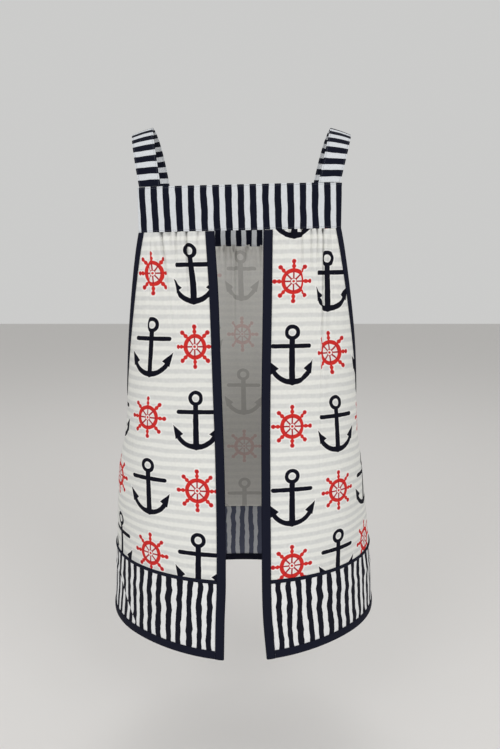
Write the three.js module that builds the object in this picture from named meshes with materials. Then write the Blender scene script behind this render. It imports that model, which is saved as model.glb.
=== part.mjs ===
import * as THREE from 'three';

// A pinafore style cobbler apron, open down the back, in the shape that it has when it is worn.
// Sizes in millimetres. The origin lies midway between the crests of the two shoulder straps.
// +X points to the wearer's right, +Y to the front and +Z up.

// Heights, as drops below the crest of the straps
const backYokeDrop = 80;
const frontYokeDrop = 98;
const armholeDrop = 386;
const hemDrop = 737;

// Yokes, bands and straps
const yokeWidth = 280;
const yokeHeight = 61;
const bandHeight = 114;
const strapWidth = 31;
const strapSpan = 282;
const strapMargin = 3;
const shoulderSlope = 19;

// Body of the apron
const hemWidth = 418;
const hemBack = 168;
const hemFront = 132;
const sideLine = 20;
const openingWidth = 60;

// How the apron hangs a little askew, sideways and as a turn in degrees, and how much higher its
// hem is away from the back opening
const askewShift = -4;
const askewTurn = 1.35;
const hemLift = 8;

// Gathers under the yokes
const gatherDepth = 3;
const gatherWidth = 6;
const gatherReach = 60;

// Cloth, bindings and piping
const clothThickness = 1.2;
const yokeThickness = 2.2;
const bindingWidth = 11;
const armholeBindingWidth = 7;
const bindingWall = 0.9;
const pipingWidth = 5;
const pipingRise = 1.6;
const clearance = 0.5;
const seamGap = 0.3;

// Grid steps
const yokeSteps = 24;
const backSteps = 20;
const frontSteps = 36;
const armholeSteps = 11;
const skirtSteps = 6;
const bandSteps = 3;
const yokeRows = 3;
const strapSteps = 22;

const backYokeFoot = -(backYokeDrop + yokeHeight);
const frontYokeFoot = -(frontYokeDrop + yokeHeight);
const bandTop = bandHeight - hemDrop;

// Sections of the body. down is a share of the hem's drop, left and right are shares of half the
// hem's width, back and front are shares of the hem's depths. The squareness is the exponent of
// each half's outline: 2 is an ellipse, and a higher one is flatter with rounder corners.
const sections = [
  { down: 0.1, left: 0.79, right: 0.79, back: 0.52, front: 0.5, backSquare: 5, frontSquare: 3.2 },
  { down: 0.19, left: 0.79, right: 0.79, back: 0.524, front: 0.56, backSquare: 5, frontSquare: 3.2 },
  { down: 0.27, left: 0.804, right: 0.804, back: 0.542, front: 0.72, backSquare: 4.2, frontSquare: 3 },
  { down: 0.38, left: 0.818, right: 0.818, back: 0.56, front: 0.84, backSquare: 3.6, frontSquare: 2.8 },
  { down: 0.5, left: 0.836, right: 0.823, back: 0.571, front: 0.87, backSquare: 3.2, frontSquare: 2.6 },
  { down: 0.6, left: 0.876, right: 0.85, back: 0.62, front: 0.885, backSquare: 2.7, frontSquare: 2.4 },
  { down: 0.655, left: 0.919, right: 0.88, back: 0.7, front: 0.9, backSquare: 2.4, frontSquare: 2.3 },
  { down: 0.735, left: 0.952, right: 0.912, back: 0.815, front: 0.924, backSquare: 2.2, frontSquare: 2.2 },
  { down: 0.815, left: 0.967, right: 0.948, back: 0.93, front: 0.95, backSquare: 2.05, frontSquare: 2.1 },
  { down: 0.9, left: 0.982, right: 0.978, back: 0.984, front: 0.975, backSquare: 2, frontSquare: 2 },
  { down: 1, left: 1, right: 0.996, back: 1, front: 1, backSquare: 2, frontSquare: 2 },
];

// Edges of the back opening, as shares of half its width
const openingEdges = [
  { down: 0.19, left: 1.17, right: 1.1 },
  { down: 0.31, left: 1.04, right: 1.04 },
  { down: 0.5, left: 0.97, right: 0.93 },
  { down: 0.7, left: 0.84, right: 0.89 },
  { down: 0.85, left: 0.8, right: 0.9 },
  { down: 0.92, left: 0.86, right: 0.96 },
  { down: 1, left: 0.9, right: 1.13 },
];

// Side seams, as shares of the way from the middle of the back to the side line
const sideSeams = [
  { down: 0.5, left: 1, right: 1 },
  { down: 0.7, left: 1, right: 1.02 },
  { down: 0.84, left: 0.92, right: 1.02 },
  { down: 0.91, left: 0.74, right: 1.01 },
  { down: 0.98, left: 0.59, right: 1 },
  { down: 1, left: 0.57, right: 1 },
];

// How much of the askew shift, the turn and the hem's lift shows at each height
const hangShares = [
  { down: 0, shift: 0.45, turn: 0, lift: 0 },
  { down: 0.1, shift: 1, turn: 1, lift: 0 },
  { down: 0.2, shift: 1, turn: 1, lift: 0 },
  { down: 0.31, shift: 0.75, turn: 0.8, lift: 0 },
  { down: 0.5, shift: 0.3, turn: 0.4, lift: 0 },
  { down: 0.75, shift: 0, turn: 0.1, lift: 0 },
  { down: 0.845, shift: 0, turn: 0.15, lift: 0.05 },
  { down: 1, shift: 0, turn: 0.35, lift: 1 },
];

// Where the lift is whole, as a share of the way from the middle of the back to the side line
const liftReach = 0.6;

// The armhole's curve, as shares of its own width and height: how far it runs out and down from
// the yoke's corner, and how far its round bottom reaches back from the side seam
const armholeCurve = { topOut: 0.22, topDown: 0.33, bottomBack: 0.53 };

// How far the middle of the underarm's row lies above its ends, as a share of the panel's height
const underarmRise = 0.04;

// The piping's outline, as shares of its own width and rise
const pipingProfile = [
  { up: 0.5, rise: 0 },
  { up: 0.3, rise: 0.85 },
  { up: -0.3, rise: 0.85 },
  { up: -0.5, rise: 0 },
];

// Exponent of the straps' slant from crest to yoke: under 1, they bow outwards
const strapBow = 0.8;

// Gathers. across is a share of the panel's top edge, from the left, depth, width and reach are
// shares of the named gather sizes.
const leftGathers = [
  { across: 0.25, depth: 1, width: 0.8, reach: 1 },
  { across: 0.44, depth: 0.5, width: 0.8, reach: 0.6 },
  { across: 0.61, depth: 1, width: 0.8, reach: 0.9 },
  { across: 0.76, depth: 0.5, width: 0.8, reach: 0.5 },
];
const rightGathers = [
  { across: 0.24, depth: 0.4, width: 1, reach: 0.6 },
  { across: 0.47, depth: 0.7, width: 1, reach: 1.1 },
  { across: 0.63, depth: 0.8, width: 0.8, reach: 0.8 },
  { across: 0.79, depth: 0.9, width: 0.8, reach: 0.9 },
];
const frontGathers = [
  { across: 0.14, depth: 0.8, width: 1, reach: 0.9 },
  { across: 0.22, depth: 0.7, width: 1, reach: 0.7 },
  { across: 0.3, depth: 1, width: 1.1, reach: 1 },
  { across: 0.39, depth: 0.8, width: 1, reach: 0.8 },
  { across: 0.47, depth: 0.9, width: 1.1, reach: 1.1 },
  { across: 0.56, depth: 0.8, width: 1, reach: 0.7 },
  { across: 0.65, depth: 1, width: 1.1, reach: 1 },
  { across: 0.74, depth: 0.7, width: 1, reach: 0.8 },
  { across: 0.84, depth: 0.8, width: 1, reach: 0.9 },
];

const navyTape = { color: 0x15172c, roughness: 0.8, metalness: 0 };
const printCloth = { color: 0xdcdcd6, roughness: 0.88, metalness: 0 };
const stripedCloth = { color: 0x8c91a3, roughness: 0.85, metalness: 0 };

const clothHalf = clothThickness / 2;
const edgeRoom = clearance + bindingWall;
const clothFoot = -(hemDrop - edgeRoom);
const quarterSteps = 40;
const probe = 0.5;
const outlineCache = new Map();

// Smooth value of a table's column at a height
function tableAt(table, column, down) {
  const last = table.length - 1;
  if (down <= table[0].down) return table[0][column];
  if (down >= table[last].down) return table[last][column];
  let i = 0;
  while (table[i + 1].down < down) i += 1;
  const slopeAt = (k) => {
    const a = table[Math.max(k - 1, 0)];
    const b = table[Math.min(k + 1, last)];
    return (b[column] - a[column]) / (b.down - a.down);
  };
  const from = table[i];
  const to = table[i + 1];
  const span = to.down - from.down;
  const t = (down - from.down) / span;
  const t2 = t * t;
  const t3 = t2 * t;
  return (2 * t3 - 3 * t2 + 1) * from[column] + (t3 - 2 * t2 + t) * span * slopeAt(i)
    + (3 * t2 - 2 * t3) * to[column] + (t3 - t2) * span * slopeAt(i + 1);
}

function smoothStep(t) {
  const c = Math.min(Math.max(t, 0), 1);
  return c * c * (3 - 2 * c);
}

// A quarter of the body's outline at one height, from the middle of the back or front to the
// side line: points and the length walked at each
function quarterOutline(z, side, face) {
  const key = `${side}${face}${z.toFixed(4)}`;
  if (outlineCache.has(key)) return outlineCache.get(key);
  const down = -z / hemDrop;
  const half = hemWidth / 2 * tableAt(sections, side, down);
  const depth = face === 'back'
    ? hemBack * tableAt(sections, 'back', down)
    : hemFront * tableAt(sections, 'front', down);
  const square = tableAt(sections, `${face}Square`, down);
  const points = [];
  let walked = 0;
  for (let i = 0; i <= quarterSteps; i += 1) {
    const t = i / quarterSteps * Math.PI / 2;
    const corner = Math.sin(t) ** square + Math.cos(t) ** square;
    const scale = corner ** (-1 / square);
    const across = half * Math.sin(t) * scale;
    const deep = depth * Math.cos(t) * scale;
    if (i > 0) walked += Math.hypot(across - points[i - 1].across, deep - points[i - 1].deep);
    points.push({ across, deep, walked });
  }
  outlineCache.set(key, points);
  return points;
}

function quarterLength(z, side, face) {
  return quarterOutline(z, side, face)[quarterSteps].walked;
}

function pointOnQuarter(points, walked) {
  let i = 0;
  while (i < quarterSteps - 1 && points[i + 1].walked < walked) i += 1;
  const a = points[i];
  const b = points[i + 1];
  const t = (walked - a.walked) / (b.walked - a.walked);
  return { across: a.across + (b.across - a.across) * t, deep: a.deep + (b.deep - a.deep) * t };
}

// Length walked from the middle to a given distance across
function walkedAcross(z, side, face, across) {
  const points = quarterOutline(z, side, face);
  let i = 0;
  while (i < quarterSteps - 1 && points[i + 1].across < across) i += 1;
  const a = points[i];
  const b = points[i + 1];
  return a.walked + (b.walked - a.walked) * (across - a.across) / (b.across - a.across);
}

// The whole way round at one height, from the middle of the back: right is positive
function sideOf(around) {
  return around < 0 ? 'left' : 'right';
}

function frontMiddle(z, side) {
  return quarterLength(z, side, 'back') + quarterLength(z, side, 'front');
}

function flatPoint(around, z) {
  const side = sideOf(around);
  const sign = Math.sign(around) || 1;
  const walked = Math.abs(around);
  const backLength = quarterLength(z, side, 'back');
  const down = -z / hemDrop;
  let spot;
  let y;
  if (walked <= backLength) {
    spot = pointOnQuarter(quarterOutline(z, side, 'back'), walked);
    y = sideLine - spot.deep;
  } else {
    const points = quarterOutline(z, side, 'front');
    spot = pointOnQuarter(points, points[quarterSteps].walked - (walked - backLength));
    y = sideLine + spot.deep;
  }
  const x = sign * spot.across;
  const backShare = smoothStep(0.5 - y / (2 * hemBack * tableAt(sections, 'back', down)));
  const turn = askewTurn * tableAt(hangShares, 'turn', down) * backShare;
  const shift = askewShift * tableAt(hangShares, 'shift', down);
  const lifted = smoothStep(walked / (backLength * liftReach));
  const lift = hemLift * tableAt(hangShares, 'lift', down) * lifted;
  return new THREE.Vector3(x + shift, y, z + lift + x * Math.tan(THREE.MathUtils.degToRad(turn)));
}

function normalOf(pointAt, around, z) {
  const along = pointAt(around + probe, z).sub(pointAt(around - probe, z));
  const up = pointAt(around, z + probe).sub(pointAt(around, z - probe));
  return along.cross(up).normalize();
}

// Edges of the panels, as lengths walked from the middle of the back
function openingEdge(z, side) {
  const across = openingWidth / 2 * tableAt(openingEdges, side, -z / hemDrop);
  return walkedAcross(z, side, 'back', across) + edgeRoom;
}

function sideSeam(z, side) {
  return quarterLength(z, side, 'back') * tableAt(sideSeams, side, -z / hemDrop);
}

function yokeEnd(z, side, face) {
  const walked = walkedAcross(z, side, face, yokeWidth / 2);
  return face === 'back' ? walked : frontMiddle(z, side) - walked;
}

// Places down the armhole's edge, from the yoke's corner to the underarm, each with the direction
// across the edge into the cloth
function armholeEdge(side, face) {
  const top = face === 'back' ? backYokeFoot : frontYokeFoot;
  const intoCloth = face === 'back' ? -1 : 1;
  const corner = yokeEnd(top, side, face) + intoCloth * edgeRoom;
  const foot = -(armholeDrop + edgeRoom);
  const width = sideSeam(foot, side) - corner;
  const height = top - foot;
  const curve = new THREE.CubicBezierCurve(
    new THREE.Vector2(corner, top),
    new THREE.Vector2(corner + width * armholeCurve.topOut, top - height * armholeCurve.topDown),
    new THREE.Vector2(corner + width * (1 - armholeCurve.bottomBack), foot),
    new THREE.Vector2(corner + width, foot),
  );
  return spread(0, 1, armholeSteps).map((t) => {
    const point = curve.getPoint(t);
    const tangent = curve.getTangent(t);
    const inward = new THREE.Vector2(-intoCloth * tangent.y, intoCloth * tangent.x);
    if (t === 0) inward.set(intoCloth, 0);
    return { around: point.x, z: point.y, inward };
  });
}

// The place at a distance across the body's surface from another one
function insetPlace({ around, z }, inward, distance) {
  const along = flatPoint(around + probe, z).distanceTo(flatPoint(around - probe, z)) / (2 * probe);
  const up = flatPoint(around, z + probe).distanceTo(flatPoint(around, z - probe)) / (2 * probe);
  return { around: around + inward.x * distance / along, z: z + inward.y * distance / up };
}

// Depth of the gathers at a place on a panel, none next to its bound edges
function gatherAt(gathers, from, to, around, top, z) {
  const below = top - z;
  const across = (around - from) / (to - from);
  const free = Math.min(around - from, to - around) - bindingWidth;
  let depth = 0;
  for (const gather of gathers) {
    const away = (across - gather.across) * (to - from) / (gather.width * gatherWidth);
    const fade = Math.exp(-((below / (gather.reach * gatherReach)) ** 2));
    depth += gather.depth * gatherDepth * fade * Math.exp(-away * away);
  }
  return depth * smoothStep(free / bindingWidth);
}

// Two triangles for four corners, split along the shorter diagonal, so that the faces of a
// binding stay level with the cloth that lies in it
function quadIndices(positions, [a, b, c, d]) {
  const corner = (index) => new THREE.Vector3().fromArray(positions, index * 3);
  const direct = corner(a).distanceTo(corner(c)) <= corner(b).distanceTo(corner(d));
  return direct ? [a, b, c, a, c, d] : [a, b, d, b, c, d];
}

// Closed solid of a sheet between the rows of its middle surface
function sheetGeometry(rows, normals, thickness) {
  const rowCount = rows.length;
  const columnCount = rows[0].length;
  const positions = [];
  for (const side of [1, -1]) {
    rows.forEach((row, i) => row.forEach((point, j) => {
      const moved = point.clone().addScaledVector(normals[i][j], side * thickness / 2);
      positions.push(moved.x, moved.y, moved.z);
    }));
  }
  const outer = (i, j) => i * columnCount + j;
  const inner = (i, j) => rowCount * columnCount + outer(i, j);
  const quads = [];
  for (let i = 0; i < rowCount - 1; i += 1) {
    for (let j = 0; j < columnCount - 1; j += 1) {
      quads.push([outer(i, j), outer(i + 1, j), outer(i + 1, j + 1), outer(i, j + 1)]);
      quads.push([inner(i, j), inner(i, j + 1), inner(i + 1, j + 1), inner(i + 1, j)]);
    }
  }
  for (let j = 0; j < columnCount - 1; j += 1) {
    const foot = rowCount - 1;
    quads.push([outer(0, j), outer(0, j + 1), inner(0, j + 1), inner(0, j)]);
    quads.push([outer(foot, j + 1), outer(foot, j), inner(foot, j), inner(foot, j + 1)]);
  }
  for (let i = 0; i < rowCount - 1; i += 1) {
    const end = columnCount - 1;
    quads.push([outer(i + 1, 0), outer(i, 0), inner(i, 0), inner(i + 1, 0)]);
    quads.push([outer(i, end), outer(i + 1, end), inner(i + 1, end), inner(i, end)]);
  }
  return closedGeometry(positions, quads);
}

// Closed solid of a profile carried along stations: each station is a ring of points
function sweptGeometry(stations, caps) {
  const ringSize = stations[0].length;
  const positions = stations.flatMap((ring) => ring.flatMap((point) => point.toArray()));
  const quads = [];
  for (let k = 0; k < stations.length - 1; k += 1) {
    const here = k * ringSize;
    const there = here + ringSize;
    for (let i = 0; i < ringSize; i += 1) {
      const next = (i + 1) % ringSize;
      quads.push([here + i, here + next, there + next, there + i]);
    }
  }
  const end = (stations.length - 1) * ringSize;
  for (const cap of caps) {
    quads.push([...cap].reverse());
    quads.push(cap.map((i) => end + i));
  }
  return closedGeometry(positions, quads);
}

// A solid from its corners and quads. Its faces are turned round if its volume is negative.
function closedGeometry(positions, quads) {
  const indices = quads.flatMap((quad) => quadIndices(positions, quad));
  const corner = (index) => new THREE.Vector3().fromArray(positions, index * 3);
  let volume = 0;
  for (let i = 0; i < indices.length; i += 3) {
    const [a, b, c] = [0, 1, 2].map((k) => corner(indices[i + k]));
    volume += a.dot(b.cross(c));
  }
  if (volume < 0) indices.reverse();
  const geometry = new THREE.BufferGeometry();
  geometry.setAttribute('position', new THREE.Float32BufferAttribute(positions, 3));
  geometry.setIndex(indices);
  geometry.computeVertexNormals();
  return geometry;
}

function addPiece(group, name, geometry, look) {
  const mesh = new THREE.Mesh(geometry, new THREE.MeshStandardMaterial(look));
  mesh.name = name;
  group.add(mesh);
}

function spread(from, to, steps) {
  return Array.from({ length: steps + 1 }, (_, i) => from + (to - from) * i / steps);
}

// A cloth sheet through rows of places on the body
function bodySheet(places, pointAt, thickness) {
  const rows = places.map((row) => row.map(({ around, z }) => pointAt(around, z)));
  const normals = places.map((row) => row.map(({ around, z }) => normalOf(pointAt, around, z)));
  return sheetGeometry(rows, normals, thickness);
}

// Places along one row between two ends. Each end is a place at the cloth's edge and one further
// in, past the binding, so that the first and last steps lie under the bindings. The row keeps
// its own height in the middle.
function rowPlaces(first, last, z, steps) {
  const middle = (first.inner.around + last.inner.around) / 2;
  const places = spread(first.inner.around, last.inner.around, steps - 2).map((around) => {
    const end = (around - middle) * (first.inner.around - middle) > 0 ? first : last;
    const share = (around - middle) / (end.inner.around - middle);
    return { around, z: z + (end.inner.z - z) * smoothStep(share) };
  });
  return [first.edge, ...places, last.edge];
}

// End of a row at a plain edge: the inner place lies level with it
function levelEnd(around, z, intoCloth) {
  const inset = intoCloth * (bindingWidth + seamGap);
  return { edge: { around, z }, inner: { around: around + inset, z } };
}

function mirrorEnd({ edge, inner }) {
  return {
    edge: { around: -edge.around, z: edge.z },
    inner: { around: -inner.around, z: inner.z },
  };
}

// One row of a back piece, from the opening to the armhole or the side seam
function backRow(z, end, side) {
  const open = levelEnd(openingEdge(z, side), z, 1);
  if (side === 'right') return rowPlaces(open, end, z, backSteps);
  return rowPlaces(mirrorEnd(end), mirrorEnd(open), z, backSteps);
}

// Heights of the panels' rows at the opening or the middle of the front
function panelHeights(top) {
  const foot = bandTop + seamGap / 2;
  const under = -armholeDrop + (top - foot) * underarmRise;
  return [...spread(top, under, armholeSteps), ...spread(under, foot, skirtSteps).slice(1)];
}

// Ends of the panels' rows: down the armhole, then down the side seam. At the underarm the inner
// place leans away from the seam.
function panelEnds(side, face) {
  const intoCloth = face === 'back' ? -1 : 1;
  const ends = armholeEdge(side, face).map(({ around, z, inward }, i) => {
    const lean = inward.clone();
    if (i === armholeSteps) lean.set(intoCloth, -1).normalize();
    const edge = { around, z };
    return { edge, inner: insetPlace(edge, lean, armholeBindingWidth + seamGap) };
  });
  ends[0].edge.z -= seamGap;
  ends[0].inner.z -= seamGap;
  ends[armholeSteps].edge.around += intoCloth * seamGap / 2;
  const underarm = ends[armholeSteps].edge.z;
  for (const z of spread(underarm, bandTop + seamGap / 2, skirtSteps).slice(1)) {
    ends.push(seamEnd(z, side, intoCloth));
  }
  return ends;
}

function seamEnd(z, side, intoCloth) {
  return levelEnd(sideSeam(z, side) + intoCloth * seamGap / 2, z, intoCloth);
}

function gatheredPoint(gathers, from, to, top) {
  return (around, z) => {
    const point = flatPoint(around, z);
    const depth = gatherAt(gathers, from, to, around, top, z);
    return point.addScaledVector(normalOf(flatPoint, around, z), -depth);
  };
}

function backPanel(side) {
  const top = backYokeFoot - seamGap;
  const ends = panelEnds(side, 'back');
  const places = panelHeights(top).map((z, i) => backRow(z, ends[i], side));
  const from = places[0][0].around;
  const to = places[0][backSteps].around;
  const gathers = side === 'left' ? leftGathers : rightGathers;
  return bodySheet(places, gatheredPoint(gathers, from, to, top), clothThickness);
}

// The front, walked from its own middle: left is negative. It keeps the middle in one piece.
function frontPoint(fromMiddle, z) {
  const side = sideOf(fromMiddle);
  const around = frontMiddle(z, side) - Math.abs(fromMiddle);
  return flatPoint(side === 'left' ? -around : around, z);
}

function fromFrontMiddle({ around, z }, side) {
  const away = frontMiddle(z, side) - around;
  return { around: side === 'left' ? -away : away, z };
}

// One row of a front piece, from the right side to the left one
function frontRow(z, rightEnd, leftEnd) {
  const [right, left] = [[rightEnd, 'right'], [leftEnd, 'left']].map(([end, side]) => ({
    edge: fromFrontMiddle(end.edge, side),
    inner: fromFrontMiddle(end.inner, side),
  }));
  return rowPlaces(right, left, z, frontSteps);
}

function frontPanel() {
  const top = frontYokeFoot - seamGap;
  const rightEnds = panelEnds('right', 'front');
  const leftEnds = panelEnds('left', 'front');
  const places = panelHeights(top).map((z, i) => frontRow(z, rightEnds[i], leftEnds[i]));
  const from = places[0][frontSteps].around;
  const to = places[0][0].around;
  const gathered = (fromMiddle, z) => {
    const depth = gatherAt(frontGathers, from, to, fromMiddle, top, z);
    return frontPoint(fromMiddle, z).addScaledVector(frontNormal(fromMiddle, z), -depth);
  };
  return frontSheet(places, gathered);
}

// Outward direction on the front, where walking to larger values goes to the wearer's right
function frontNormal(fromMiddle, z, pointAt = frontPoint) {
  return normalOf(pointAt, fromMiddle, z).negate();
}

function frontSheet(places, pointAt) {
  const rows = places.map((row) => row.map(({ around, z }) => pointAt(around, z)));
  const normals = places.map((row) => row.map(({ around, z }) => frontNormal(around, z, pointAt)));
  return sheetGeometry(rows, normals, clothThickness);
}

// The last step of the bands lies under the hem's binding
function bandHeights() {
  const top = bandTop - seamGap / 2;
  return [...spread(top, clothFoot + bindingWidth, bandSteps - 1), clothFoot];
}

function backBand(side) {
  const places = bandHeights().map((z) => backRow(z, seamEnd(z, side, -1), side));
  return bodySheet(places, flatPoint, clothThickness);
}

function frontBand() {
  const places = bandHeights()
    .map((z) => frontRow(z, seamEnd(z, 'right', 1), seamEnd(z, 'left', 1)));
  return frontSheet(places, frontPoint);
}

function backYoke() {
  const places = spread(-backYokeDrop, backYokeFoot, yokeRows).map((z) => {
    const left = -yokeEnd(z, 'left', 'back');
    const right = yokeEnd(z, 'right', 'back');
    return spread(left, right, yokeSteps).map((around) => ({ around, z }));
  });
  return bodySheet(places, flatPoint, yokeThickness);
}

function frontYoke() {
  const places = spread(-frontYokeDrop, frontYokeFoot, yokeRows).map((z) => {
    const right = frontMiddle(z, 'right') - yokeEnd(z, 'right', 'front');
    const left = yokeEnd(z, 'left', 'front') - frontMiddle(z, 'left');
    return spread(right, left, yokeSteps).map((around) => ({ around, z }));
  });
  const rows = places.map((row) => row.map(({ around, z }) => frontPoint(around, z)));
  const normals = places.map((row) => row.map(({ around, z }) => frontNormal(around, z)));
  return sheetGeometry(rows, normals, yokeThickness);
}

// A binding folded over an edge of the cloth: a channel with one wall outside, one inside and
// a strip past the edge. Each station has the edge, the place under the binding's hem, the
// outward normals there and the direction out of the cloth.
function channelRing({ edge, hem, edgeNormal, hemNormal, out }) {
  const gap = clothHalf + clearance;
  const full = gap + bindingWall;
  const near = (side, height) => edge.clone()
    .addScaledVector(edgeNormal, side * height)
    .addScaledVector(out, height === full ? clearance + bindingWall : clearance);
  const far = (side, height) => hem.clone().addScaledVector(hemNormal, side * height);
  return [far(1, full), near(1, full), near(-1, full), far(-1, full),
    far(-1, gap), near(-1, gap), near(1, gap), far(1, gap)];
}

const channelCaps = [[0, 1, 6, 7], [1, 2, 5, 6], [2, 3, 4, 5]];

// A station of a binding of one width, at a place on the body whose cloth lies in direction inward
function bindingStation(place, inward, width) {
  const edge = flatPoint(place.around, place.z);
  const hemPlace = insetPlace(place, inward, width);
  const near = insetPlace(place, inward, probe);
  return {
    edge,
    hem: flatPoint(hemPlace.around, hemPlace.z),
    out: edge.clone().sub(flatPoint(near.around, near.z)).normalize(),
    edgeNormal: normalOf(flatPoint, place.around, place.z),
    hemNormal: normalOf(flatPoint, hemPlace.around, hemPlace.z),
  };
}

// Binding down one edge of the back opening
function backBinding(side) {
  const sign = side === 'left' ? -1 : 1;
  const top = backYokeFoot - seamGap;
  const heights = [...panelHeights(top), ...bandHeights().slice(1), -hemDrop];
  const inward = new THREE.Vector2(sign, 0);
  const rings = heights.map((z) => {
    const place = { around: sign * openingEdge(z, side), z };
    return channelRing(bindingStation(place, inward, bindingWidth));
  });
  return sweptGeometry(rings, channelCaps);
}

// Binding round one armhole: down the back edge, through the underarm and up the front edge
function armholeBinding(side) {
  const sign = side === 'left' ? -1 : 1;
  const backPlaces = armholeEdge(side, 'back');
  const frontPlaces = armholeEdge(side, 'front').reverse();
  backPlaces[0].z -= seamGap;
  frontPlaces[armholeSteps].z -= seamGap;
  const rings = [...backPlaces, ...frontPlaces.slice(1)].map(({ around, z, inward }) => {
    const signed = new THREE.Vector2(sign * inward.x, inward.y);
    return channelRing(bindingStation({ around: sign * around, z }, signed, armholeBindingWidth));
  });
  return sweptGeometry(rings, channelCaps);
}

// The way round the skirt at one height, from the left edge of the opening round the front to
// its right edge, between the inner hems of the two opening bindings
function skirtPlaces(z) {
  const left = backRow(z, seamEnd(z, 'left', -1), 'left').slice(0, -1).reverse();
  const right = backRow(z, seamEnd(z, 'right', -1), 'right').slice(1).reverse();
  const front = frontRow(z, seamEnd(z, 'right', 1), seamEnd(z, 'left', 1)).reverse();
  const frontPlaces = front.map(({ around }) => {
    const side = sideOf(around);
    const walked = frontMiddle(z, side) - Math.abs(around);
    return { around: side === 'left' ? -walked : walked, z };
  });
  return [...left, ...frontPlaces.slice(1, -1), ...right];
}

// Binding round the lower edge of the bands
function hemBinding() {
  const up = new THREE.Vector2(0, 1);
  const rings = skirtPlaces(clothFoot).map((place) => {
    return channelRing(bindingStation(place, up, bindingWidth));
  });
  return sweptGeometry(rings, channelCaps);
}

// Piping over the seam above the bands: a low arch standing on the cloth's outer face
function seamPiping() {
  const foot = clothHalf + clearance;
  const rings = skirtPlaces(bandTop).map(({ around }) => pipingProfile.map(({ up, rise }) => {
    const z = bandTop + up * pipingWidth;
    const normal = normalOf(flatPoint, around, z);
    return flatPoint(around, z).addScaledVector(normal, foot + rise * pipingRise);
  }));
  return sweptGeometry(rings, [pipingProfile.map((_, i) => i)]);
}

// A shoulder strap from the top of the back yoke over the shoulder to the front yoke
function strap(side) {
  const sign = side === 'left' ? -1 : 1;
  const fromEnd = strapMargin + strapWidth / 2;
  const backTop = -backYokeDrop + seamGap;
  const frontTop = -frontYokeDrop + seamGap;
  const backAround = sign * (yokeEnd(backTop, side, 'back') - fromEnd);
  const frontAround = sign * (yokeEnd(frontTop, side, 'front') + fromEnd);
  const backFoot = flatPoint(backAround, backTop);
  const frontFoot = flatPoint(frontAround, frontTop);
  const crestShift = askewShift * tableAt(hangShares, 'shift', 0);
  const crest = new THREE.Vector3(sign * strapSpan / 2 + crestShift, 0, -yokeThickness / 2);
  const acrossAt = (around, z) => {
    return flatPoint(around + probe, z).sub(flatPoint(around - probe, z)).normalize();
  };
  const backAcross = acrossAt(backAround, backTop);
  const frontAcross = acrossAt(frontAround, frontTop).negate();
  const slope = THREE.MathUtils.degToRad(shoulderSlope);
  const crestAcross = new THREE.Vector3(Math.cos(slope), 0, -sign * Math.sin(slope));
  const places = [];
  for (const t of spread(-1, 1, strapSteps)) {
    const foot = t < 0 ? backFoot : frontFoot;
    const footAcross = t < 0 ? backAcross : frontAcross;
    const turn = Math.abs(t) * Math.PI / 2;
    const lift = 1 - Math.cos(turn);
    const point = new THREE.Vector3(
      THREE.MathUtils.lerp(crest.x, foot.x, lift ** strapBow),
      THREE.MathUtils.lerp(crest.y, foot.y, Math.sin(turn)),
      THREE.MathUtils.lerp(crest.z, foot.z, lift),
    );
    const across = crestAcross.clone().lerp(footAcross, smoothStep(Math.abs(t))).normalize();
    places.push({ point, across });
  }
  const last = places.length - 1;
  const rows = [];
  const normals = [];
  places.forEach(({ point, across }, i) => {
    const before = places[Math.max(i - 1, 0)].point;
    const after = places[Math.min(i + 1, last)].point;
    const along = after.clone().sub(before);
    const normal = across.clone().cross(along).normalize();
    const half = across.clone().multiplyScalar(strapWidth / 2);
    rows.push([point.clone().sub(half), point, point.clone().add(half)]);
    normals.push([normal, normal, normal]);
  });
  return sheetGeometry(rows, normals, yokeThickness);
}

const apron = new THREE.Group();
addPiece(apron, 'back_yoke', backYoke(), stripedCloth);
addPiece(apron, 'front_yoke', frontYoke(), stripedCloth);
addPiece(apron, 'front_panel', frontPanel(), printCloth);
addPiece(apron, 'hem_band_front', frontBand(), stripedCloth);
addPiece(apron, 'hem_binding', hemBinding(), navyTape);
addPiece(apron, 'seam_piping', seamPiping(), navyTape);
for (const side of ['left', 'right']) {
  addPiece(apron, `back_panel_${side}`, backPanel(side), printCloth);
  addPiece(apron, `hem_band_back_${side}`, backBand(side), stripedCloth);
  addPiece(apron, `strap_${side}`, strap(side), stripedCloth);
  addPiece(apron, `back_binding_${side}`, backBinding(side), navyTape);
  addPiece(apron, `armhole_binding_${side}`, armholeBinding(side), navyTape);
}

export default apron;
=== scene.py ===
import math
from functools import partial, reduce

import bmesh
import bpy
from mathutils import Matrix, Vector, noise


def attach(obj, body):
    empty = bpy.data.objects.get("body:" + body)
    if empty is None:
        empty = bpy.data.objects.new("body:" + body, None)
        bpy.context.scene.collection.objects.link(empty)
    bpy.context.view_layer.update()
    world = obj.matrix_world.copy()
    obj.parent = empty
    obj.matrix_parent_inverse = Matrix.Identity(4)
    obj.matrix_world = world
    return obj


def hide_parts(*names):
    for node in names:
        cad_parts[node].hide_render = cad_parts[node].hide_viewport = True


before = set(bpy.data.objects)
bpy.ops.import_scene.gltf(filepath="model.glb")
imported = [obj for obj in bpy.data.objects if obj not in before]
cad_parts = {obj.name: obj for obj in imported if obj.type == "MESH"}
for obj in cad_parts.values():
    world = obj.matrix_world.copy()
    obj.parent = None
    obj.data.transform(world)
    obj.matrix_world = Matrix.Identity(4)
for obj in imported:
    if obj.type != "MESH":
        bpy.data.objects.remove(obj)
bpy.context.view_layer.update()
scene = bpy.context.scene
signOf = {"left": -1, "right": 1}
print("frame loaded")


def tableOf(columns, *rows):
    names = columns.split()
    return [dict(zip(names, row)) for row in rows]


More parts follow.
